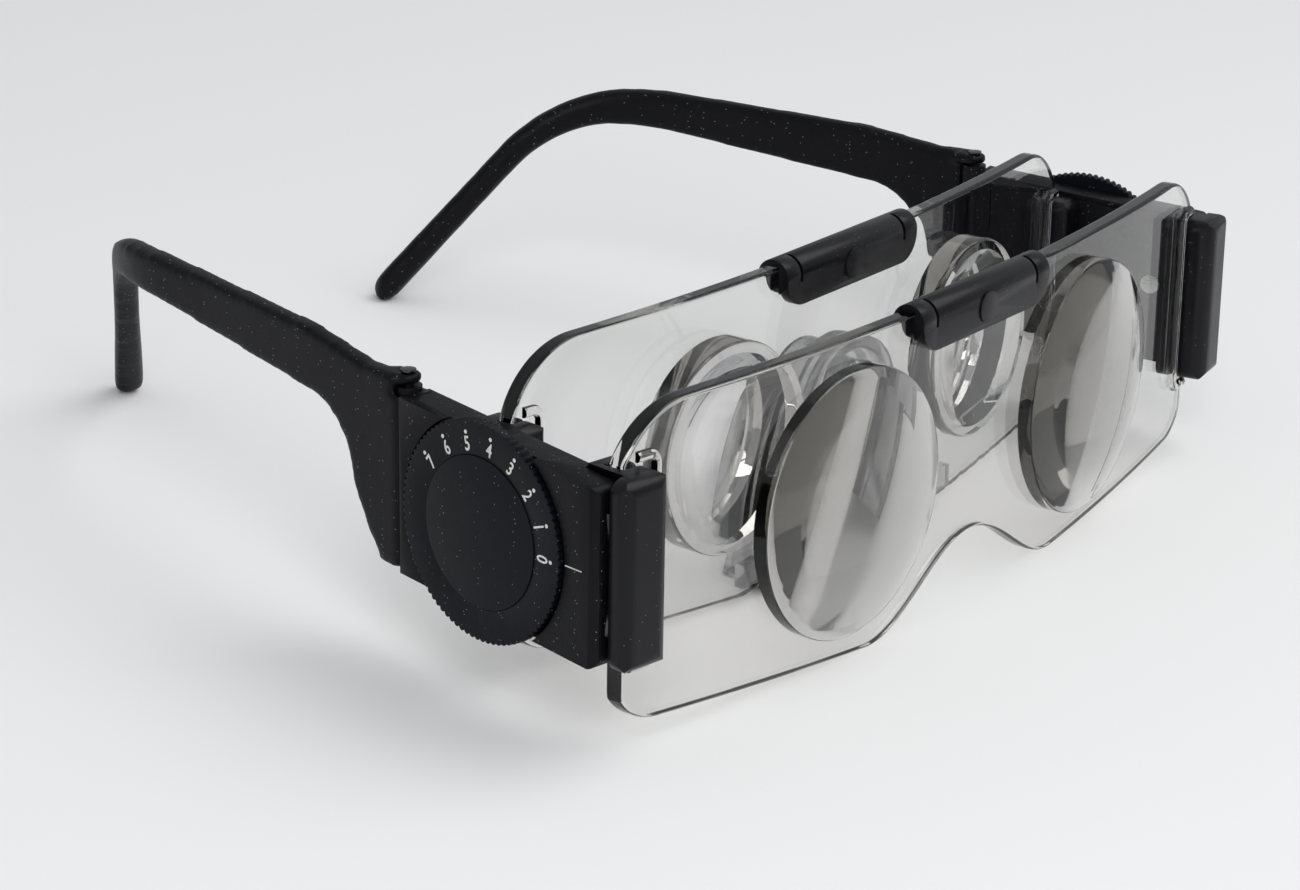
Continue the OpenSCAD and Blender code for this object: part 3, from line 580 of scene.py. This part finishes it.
def polish(obj, mat):
    """Smooth shading whose normals keep the flat faces flat and the rims crisp."""
    give_material(obj, mat)
    select_only(obj)
    bpy.ops.object.shade_smooth_by_angle(angle=math.radians(12.0))
    weighted = obj.modifiers.new("flat", "WEIGHTED_NORMAL")
    weighted.mode = "FACE_AREA"
    weighted.weight = 100
    weighted.keep_sharp = True
    apply(obj, weighted)


# The clear plates

def low_edge(x):
    """Height of a plate's lower edge, which waves up over the nose."""
    return NOTCH_H * (1 + math.cos(math.pi * x / NOTCH_HALF)) / 2


def nose_arch(wave):
    """The arch's round top and straight leg, and what is left of the wave beside it."""
    curve = arc(0, ARCH_Z - REAR_RISE, ARCH_R, 90, ARCH_LEAN, CORNER_STEPS)
    top_x, top_z = curve[-1]
    drop = ARCH_FOOT_Z - REAR_RISE - top_z
    x = top_x
    while low_edge(min(x, NOTCH_HALF)) < top_z + drop * (x - top_x) / (ARCH_FOOT - top_x):
        x += ARCH_SEARCH
    return curve + [(x, low_edge(x))] + [point for point in wave if point[0] > x + ARCH_MARGIN]


def half_outline(half, cut, arch):
    """Half of a plate's outline, from the middle of its lower edge to its top, cut off square."""
    low = [(x, low_edge(x)) for x in (NOTCH_HALF * i / WAVE_STEPS for i in range(WAVE_STEPS + 1))]
    if arch:
        low = nose_arch(low)
    corners = (arc(half - LOW_R, LOW_RISE + LOW_R, LOW_R, -90, 0, CORNER_STEPS)
               + arc(half - TOP_R, PLATE_H - TOP_R, TOP_R, 0, 90, TOP_STEPS))
    kept = []
    for x, z in low + corners:
        point = (min(x, cut), z)
        if not kept or math.dist(point, kept[-1]) > POINT_GAP:
            kept.append(point)
    return kept


def sheet(name, half, cut, size, arch):
    """The bowed clear sheet with its polished edge."""
    points = half_outline(half, cut, arch)
    points = points + [(-x, z) for x, z in reversed(points) if x > TINY]
    obj = loop_of([(x, 0.0, z) for x, z in points], name)
    edit(obj)
    bpy.ops.mesh.extrude_region_move(TRANSFORM_OT_translate={"value": (0.0, size.thickness, 0.0)})
    face_out()
    leave_edit()
    pick_edges(obj, lambda a, b: abs(a.y - b.y) < TINY)
    bpy.ops.mesh.bevel(offset=size.edge_round, segments=EDGE_STEPS, profile=0.5, affect="EDGES",
                       clamp_overlap=True)
    x = -math.floor(half / BEND_STEP) * BEND_STEP
    while x < half:
        bpy.ops.mesh.select_all(action="SELECT")
        bpy.ops.mesh.bisect(plane_co=(x, 0, 0), plane_no=(1, 0, 0))
        x += BEND_STEP
    leave_edit()
    for vertex in obj.data.vertices:
        vertex.co.y += sagitta(vertex.co.x, size.bow_radius)
    return obj


def at_lens(sign, y, z, bow):
    """The frame of one lens, tilted with the bow."""
    return (Matrix.Translation((sign * PUPIL_HALF, y + sagitta(PUPIL_HALF, bow), z))
            @ Matrix.Rotation(sign * math.asin(PUPIL_HALF / bow), 4, "Z"))


def rounded_rim(radius, face_y, rim_r, turns):
    """A rim's rounded front corner, from its face outwards."""
    return [(radius - rim_r + rim_r * math.sin(a), face_y + rim_r * (1 - math.cos(a))) for a in turns]


def front_lens(size):
    """Profile of a front lens: its dome, its rounded rim and its flatter back."""
    r = size.front_lens
    flat_r = r - FRONT_RIM_R
    top = -FRONT_PROUD - sagitta(r, FRONT_DOME)
    radii = [flat_r * i / FACE_STEPS for i in range(FACE_STEPS + 1)]
    face = [(q, top + sagitta(q, FRONT_DOME)) for q in radii]
    rim = rounded_rim(r, face[-1][1], FRONT_RIM_R, FRONT_RIM_TURNS)
    deepest = size.thickness - LENS_SINK + sagitta(r, size.back_dome)
    back_radii = [r * i / FACE_STEPS for i in range(FACE_STEPS, -1, -1)]
    back = [(q, deepest - sagitta(q, size.back_dome)) for q in back_radii]
    return face + rim + back


def rear_ring(size):
    """Profile of the disc that a rear lens's ring is cut from."""
    r = size.rear_lens
    seat = size.thickness / 2
    return [(0, -RING_PROUD), *rounded_rim(r, -RING_PROUD, RING_RIM_R, RING_RIM_TURNS), (r, seat), (0, seat)]


def rear_hollow():
    """Profile of the dished hollow in a rear lens, with its narrow lip."""
    centre = -RING_PROUD - math.sqrt(DISH_R ** 2 - HOLLOW_R ** 2)
    widest = math.asin(HOLLOW_R / DISH_R)
    angles = [widest * i / BOWL_STEPS for i in range(BOWL_STEPS - 1, -1, -1)]
    lead = [(0, -HOLLOW_LEAD), (HOLLOW_R + HOLLOW_LIP, -HOLLOW_LEAD)]
    lip = [(HOLLOW_R + wider, -RING_PROUD + y) for wider, y in HOLLOW_STEP]
    return lead + lip + [(DISH_R * math.sin(a), centre + DISH_R * math.cos(a)) for a in angles]


def rim_bar(bar, low_end, high_end, y, bow, sign):
    """The rounded clear rim beside a clip: an upright bar with a leg at each end."""
    curve = bpy.data.curves.new("rim", "CURVE")
    curve.dimensions = "3D"
    curve.bevel_depth = RIM_R
    curve.bevel_resolution = 4
    curve.use_fill_caps = True
    inner = bar + RIM_CORNER
    path = [(low_end, RIM_LOW),
            *arc(inner, RIM_LOW + RIM_CORNER, RIM_CORNER, 270, 180, RIM_CORNER_STEPS),
            *arc(inner, RIM_HIGH - RIM_CORNER, RIM_CORNER, 180, 90, RIM_CORNER_STEPS),
            (high_end, RIM_HIGH)]
    spline = curve.splines.new("POLY")
    spline.points.add(len(path) - 1)
    for point, (x, z) in zip(spline.points, path):
        point.co = (sign * x, y + sagitta(x, bow) - RIM_SINK, z, 1.0)
    select_only(link(bpy.data.objects.new("rim", curve)))
    bpy.ops.object.convert(target="MESH")
    return bpy.context.object


def stand_flat(obj):
    """Cuts off what would lie under the surface that the part stands on."""
    edit(obj)
    bpy.ops.mesh.bisect(plane_co=(0, 0, 0), plane_no=(0, 0, 1), use_fill=True, clear_inner=True,
                        threshold=1e-7)
    leave_edit()


def finish_plate(plate, node, body):
    """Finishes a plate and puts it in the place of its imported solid."""
    polish(plate, bpy.data.materials["clear_moulding"])
    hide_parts(node)
    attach(plate, body)


class SPEC_OT_front_plate(bpy.types.Operator):
    """Builds the front plate: a bowed sheet, two domed lenses and the rims beside the clips"""
    bl_idname = "spec.front_plate"
    bl_label = "Front plate"

    def execute(self, context):
        size = context.scene.spec_plates
        plate = sheet("front_plate_clear", size.front_half, size.front_cut, size, arch=False)
        for sign in SIDE_SIGN.values():
            lens = turned(front_lens(size), "lens_tool", at_lens(sign, 0, FRONT_Z, size.bow_radius))
            boolean(plate, lens, "UNION")
            boolean(plate, rim_bar(*FRONT_RIM, 0, size.bow_radius, sign), "UNION")
        place(plate, PLATE)
        stand_flat(plate)
        finish_plate(plate, "front_plate", "front")
        return {"FINISHED"}


class SPEC_OT_rear_plate(bpy.types.Operator):
    """Builds the rear plate: a bowed sheet with the nose arch and two hollow lens rings"""
    bl_idname = "spec.rear_plate"
    bl_label = "Rear plate"

    def execute(self, context):
        size = context.scene.spec_plates
        plate = sheet("rear_plate_clear", size.rear_half, size.rear_half, size, arch=True)
        place(plate, Matrix.Translation((0, PLATE_GAP, REAR_RISE)))
        for sign in SIDE_SIGN.values():
            here = at_lens(sign, PLATE_GAP, REAR_Z, size.bow_radius)
            boolean(plate, turned(rear_ring(size), "ring_tool", here), "UNION")
            boolean(plate, turned(rear_hollow(), "hollow_tool", here), "DIFFERENCE")
            boolean(plate, rim_bar(*REAR_RIM, PLATE_GAP, size.bow_radius, sign), "UNION")
        place(plate, PLATE)
        finish_plate(plate, "rear_plate", "frame")
        return {"FINISHED"}


# The temples

def share(value):
    """Keeps a value between 0 and 1."""
    return min(max(value, 0.0), 1.0)


def swell(obj, frame_matrix):
    """Thickens a temple's hook across its own flat, more and more towards its end."""
    into = frame_matrix.inverted()
    back = frame_matrix.to_3x3().transposed()
    hook = obj.vertex_groups.new(name="hook")
    for vertex in obj.data.vertices:
        spot = into @ vertex.co
        along = share((spot.y - WRAP_FROM + SWELL_LEAD) / SWELL_RUN)
        if along > 0.0:
            hook.add([vertex.index], along, "REPLACE")
            turn = math.radians(WRAP_ANGLE) * share((spot.y - WRAP_FROM) / WRAP_RUN)
            flat = Vector((math.cos(turn), math.sin(turn), 0.0))
            normal = (back @ vertex.normal).normalized()
            spot += flat * (normal.dot(flat) * SWELL * along)
            vertex.co = frame_matrix @ spot


def soften(obj, name, group, times):
    smooth = obj.modifiers.new(name, "SMOOTH")
    smooth.factor = 0.5
    smooth.iterations = times
    smooth.vertex_group = group
    apply(obj, smooth)


def temple(side):
    """One temple: its solid remeshed evenly, swollen at the hook and softened, within the solid's reach."""
    node = side + "_temple"
    obj = link(bpy.data.objects.new(side + "_temple_moulding", NODES[node].data.copy()))
    reach = max(vertex.co.y for vertex in obj.data.vertices)
    edit(obj)
    bpy.ops.mesh.remove_doubles(threshold=WELD)
    leave_edit()
    grid = obj.modifiers.new("even", "REMESH")
    grid.mode = "VOXEL"
    grid.voxel_size = VOXEL * MM
    grid.use_smooth_shade = True
    apply(obj, grid)
    toed = Matrix.Translation((0, TEMPLE_BACK, 0)) @ Matrix.Rotation(math.radians(TEMPLE_TOE), 4, "Z")
    swell(obj, side_matrix(side) @ toed)
    soften(obj, "soften", "", SOFTEN_TIMES)
    soften(obj, "round", "hook", ROUND_TIMES)
    for vertex in obj.data.vertices:
        vertex.co.y = min(vertex.co.y, reach)
    give_material(obj, bpy.data.materials["grained_plastic"])
    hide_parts(node)
    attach(obj, side + "_temple_body")


class SPEC_OT_temples(bpy.types.Operator):
    """Models both temples over their solids, with the soft edges and the round hook of a moulding"""
    bl_idname = "spec.temples"
    bl_label = "Temples"

    def execute(self, context):
        for side in SIDES:
            temple(side)
        return {"FINISHED"}


# The printed marks

def join(objs, name):
    bpy.ops.object.select_all(action="DESELECT")
    for obj in objs:
        obj.select_set(True)
    bpy.context.view_layer.objects.active = objs[0]
    bpy.ops.object.join()
    objs[0].name = name
    return objs[0]


def dot_mark(matrix):
    """A thin printed dot with a narrower top."""
    bpy.ops.mesh.primitive_circle_add(vertices=DOT_SIDES, radius=DOT_R, fill_type="NGON")
    obj = bpy.context.object
    edit(obj)
    bpy.ops.mesh.extrude_region_move(TRANSFORM_OT_translate={"value": (0.0, 0.0, PRINT_T)})
    bpy.ops.transform.resize(value=(DOT_TOP, DOT_TOP, 1.0))
    face_out()
    leave_edit()
    return place(obj, matrix)


def number_mark(text, size, matrix):
    """A thin printed number, narrower than the font's own."""
    font = bpy.data.curves.new("number", "FONT")
    font.body = text
    font.size = size
    font.align_x = "CENTER"
    font.align_y = "CENTER"
    font.extrude = PRINT_T
    font.offset = NUMBER_BOLD
    select_only(link(bpy.data.objects.new("number", font)))
    bpy.ops.object.convert(target="MESH")
    obj = bpy.context.object
    edit(obj)
    bpy.ops.mesh.remove_doubles(threshold=0.0005)
    face_out()
    leave_edit()
    return place(obj, matrix @ Matrix.Diagonal((NUMBER_NARROW, 1.0, 1.0, 1.0)))


def dial_marks(side, size):
    """One dial's numbers with their dots, as one piece."""
    outward, backward, up = side_axes(side)
    centre = side_matrix(side) @ Vector((DIAL_PROUD, -DIAL_BACK, DIAL_Z))
    made = []
    for number in range(MARK_COUNT):
        angle = math.radians(size.step * number - MARK_AHEAD)
        radial = (-backward * math.cos(angle) + up * math.sin(angle)).normalized()
        across = radial.cross(outward).normalized()
        upright = Matrix((across, radial, outward)).transposed().to_4x4()
        middle = Matrix.Translation(centre) @ upright @ Matrix.Scale(MM, 4)
        dot_at = middle @ Matrix.Translation((0.0, size.dot_radius, MARK_LIFT))
        number_at = middle @ Matrix.Translation((0.0, size.text_radius, MARK_LIFT))
        made.append(dot_mark(dot_at))
        made.append(number_mark(str(number), size.text_height * NUMBER_SCALE, number_at))
    return join(made, side + "_dial_marks")


def pointer(side):
    """The line on a housing that the numbers are read against."""
    bpy.ops.mesh.primitive_cube_add(size=1.0)
    line = bpy.context.object
    line.name = side + "_pointer"
    edit(line)
    bpy.ops.transform.resize(value=POINTER_SIZE)
    bpy.ops.mesh.bevel(offset=POINTER_ROUND, segments=2, affect="EDGES")
    leave_edit()
    return place(line, side_matrix(side) @ Matrix.Translation(POINTER_AT))


class SPEC_OT_dial_marks(bpy.types.Operator):
    """Prints the numbers and dots on both dials, and the pointer line in front of each"""
    bl_idname = "spec.dial_marks"
    bl_label = "Dial marks"

    def execute(self, context):
        for side in SIDES:
            marks = dial_marks(side, context.scene.spec_marks)
            line = pointer(side)
            for obj, body in ((marks, side + "_dial_group"), (line, "frame")):
                give_material(obj, bpy.data.materials["print_white"])
                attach(obj, body)
        return {"FINISHED"}


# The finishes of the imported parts

def plain_name(node):
    """A node's name without its side or place, such as dial_cap."""
    for place_word in ("right_", "left_", "front_", "rear_"):
        node = node.removeprefix(place_word)
    return node


class SPEC_OT_finishes(bpy.types.Operator):
    """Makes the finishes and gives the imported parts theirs"""
    bl_idname = "spec.finishes"
    bl_label = "Finishes"

    def execute(self, context):
        colours = context.scene.spec_colours
        clear_acrylic("clear_moulding", colours.clear, colours.clear_density)
        print_white("print_white", colours.mark)
        dark = metal("dark_metal", colours.dark_metal)
        finish = {
            "grained_black": black_plastic("grained_plastic", colours.housing, rough=0.42, grain=2600.0,
                                           depth=0.00003, speck=0.15, level=0.15),
            "glossy_black": black_plastic("smooth_plastic", colours.gloss, rough=0.34, grain=1500.0,
                                          depth=0.00001, speck=0.11, level=0.22, coat=0.05),
            "dial_black": black_plastic("dial_plastic", colours.dial, rough=0.44, grain=3000.0,
                                        depth=0.00002, speck=0.14, level=0.15),
            "saddle_rubber": soft_saddle("saddle_vinyl", colours.saddle),
            "bright_steel": metal("bright_metal", colours.bright_metal)}
        for part in frame["record"]["subparts"]:
            node = part["node"]
            if node not in REPLACED:
                name = plain_name(node)
                mat = dark if name in DARK_METAL else finish[part["material_slot"]]
                dress(NODES[node], mat, SOFT.get(name, EDGE_SOFT))
        return {"FINISHED"}


# The studio

def lamp(name, at, size, power, tint):
    """A square soft light that faces the part."""
    data = bpy.data.lights.new(name, "AREA")
    data.size = size
    data.energy = power
    data.color = tint
    light = link(bpy.data.objects.new(name, data))
    light.location = at
    light.rotation_euler = (-Vector(at)).to_track_quat("-Z", "Y").to_euler()


def camera(context):
    """The photograph's viewpoint, fitted in the plates' own frame."""
    azimuth = math.radians(CAMERA_AZIMUTH)
    elevation = math.radians(CAMERA_ELEVATION)
    roll = math.radians(CAMERA_ROLL)
    away = Vector((math.sin(azimuth) * math.cos(elevation), -math.cos(azimuth) * math.cos(elevation),
                   math.sin(elevation)))
    level = (-away).cross(Vector((0, 0, 1))).normalized()
    upright = level.cross(-away)
    x = level * math.cos(roll) + upright * math.sin(roll)
    y = -level * math.sin(roll) + upright * math.cos(roll)
    turn = LEAN.to_3x3() @ Matrix((x, y, away)).transposed()
    data = bpy.data.cameras.new("camera")
    data.sensor_width = SENSOR
    data.lens = FOCAL_PIXELS / PHOTO_WIDTH * SENSOR
    data.clip_start = 0.01
    data.clip_end = 20.0
    view = link(bpy.data.objects.new("camera", data))
    view.matrix_world = Matrix.Translation(PLATE @ Vector(CAMERA_AT)) @ turn.to_4x4()
    context.scene.camera = view


class SPEC_OT_stage(bpy.types.Operator):
    """Builds the floor, the soft studio lights and the camera"""
    bl_idname = "spec.stage"
    bl_label = "Studio"

    def execute(self, context):
        bpy.ops.mesh.primitive_plane_add(size=FLOOR_SIZE)
        floor = bpy.context.object
        floor.name = "floor"
        floor.data.materials.append(floor_paper("floor_paper", context.scene.spec_colours.floor))
        world = bpy.data.worlds.new("studio")
        context.scene.world = world
        world.use_nodes = True
        sky = world.node_tree.nodes["Background"]
        sky.inputs["Color"].default_value = SKY
        sky.inputs["Strength"].default_value = SKY_STRENGTH
        for name, at, size, power, tint in LAMPS:
            lamp(name, at, size, power, tint)
        camera(context)
        context.scene.view_settings.view_transform = "Standard"
        return {"FINISHED"}


class SPEC_PT_panel(bpy.types.Panel):
    """Lists the steps that build the spectacles"""
    bl_idname = "SPEC_PT_panel"
    bl_label = "Magnifying spectacles"
    bl_space_type = "VIEW_3D"
    bl_region_type = "UI"
    bl_category = "Spectacles"

    def draw(self, context):
        for operator in OPERATORS:
            self.layout.operator(operator.bl_idname)
        for _, group in GROUPS:
            data = getattr(context.scene, group)
            for name in data.__annotations__:
                self.layout.prop(data, name)


OPERATORS = (SPEC_OT_finishes, SPEC_OT_front_plate, SPEC_OT_rear_plate, SPEC_OT_temples, SPEC_OT_dial_marks,
             SPEC_OT_stage)
GROUPS = ((SpecPlates, "spec_plates"), (SpecColours, "spec_colours"), (SpecMarks, "spec_marks"))


def register():
    for cls, name in GROUPS:
        bpy.utils.register_class(cls)
        setattr(bpy.types.Scene, name, bpy.props.PointerProperty(type=cls))
    for cls in (*OPERATORS, SPEC_PT_panel):
        bpy.utils.register_class(cls)


def unregister():
    for cls in (SPEC_PT_panel, *reversed(OPERATORS)):
        bpy.utils.unregister_class(cls)
    for cls, name in reversed(GROUPS):
        delattr(bpy.types.Scene, name)
        bpy.utils.unregister_class(cls)


def main():
    register()
    bpy.ops.spec.finishes()
    bpy.ops.spec.front_plate()
    bpy.ops.spec.rear_plate()
    bpy.ops.spec.temples()
    bpy.ops.spec.dial_marks()
    bpy.ops.spec.stage()


if __name__ == "__main__":
    main()
